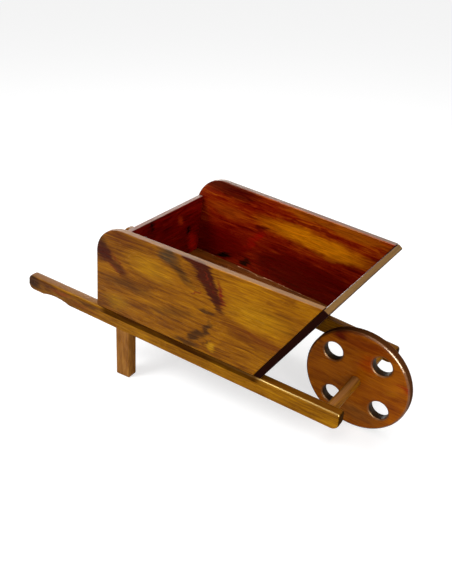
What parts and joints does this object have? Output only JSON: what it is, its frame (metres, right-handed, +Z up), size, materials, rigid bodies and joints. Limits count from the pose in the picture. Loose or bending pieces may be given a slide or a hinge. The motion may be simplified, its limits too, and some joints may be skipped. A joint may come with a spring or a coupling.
{
  "type": "decorative wheelbarrow planter",
  "caption": "Small wooden wheelbarrow planter: two tapering rails with shaped handles, a splayed open tray, two legs and one pierced wooden wheel on a dowel axle.",
  "frame": {"origin": "on the ground, under the middle of the overall box, with the barrow standing on its wheel and both legs", "axes": "+X forward to the wheel, +Y to the barrow's left, +Z up; right-handed, metres"},
  "size_m": [0.7811, 0.32, 0.3348],
  "materials": {
    "varnished_wood": "glossy brown varnish over strongly figured timber",
    "plain_wood": "bare turned dowel",
    "steel": "plain bright steel"
  },
  "bodies": {
    "barrow": {"right_rail": "varnished_wood", "left_rail": "varnished_wood", "front_bearer": "varnished_wood", "rear_bearer": "varnished_wood", "right_leg": "varnished_wood", "left_leg": "varnished_wood", "right_side_board": "varnished_wood", "left_side_board": "varnished_wood", "tail_board": "varnished_wood", "front_board": "varnished_wood", "floor_board_right": "varnished_wood", "floor_board_middle": "varnished_wood", "floor_board_left": "varnished_wood", "bearer_dowels": "plain_wood", "leg_dowels": "plain_wood", "side_screws": "steel", "tail_nails": "steel", "front_nails": "steel", "side_nails": "steel", "floor_nails": "steel"},
    "wheel": {"wheel": "varnished_wood", "axle": "varnished_wood"}
  },
  "joints": [
    {"name": "wheel_spin", "type": "hinge", "parent": "barrow", "child": "wheel", "pos_m": [0.29012, 0, 0.1], "axis": [0, 1, 0], "continuous": true}
  ]
}
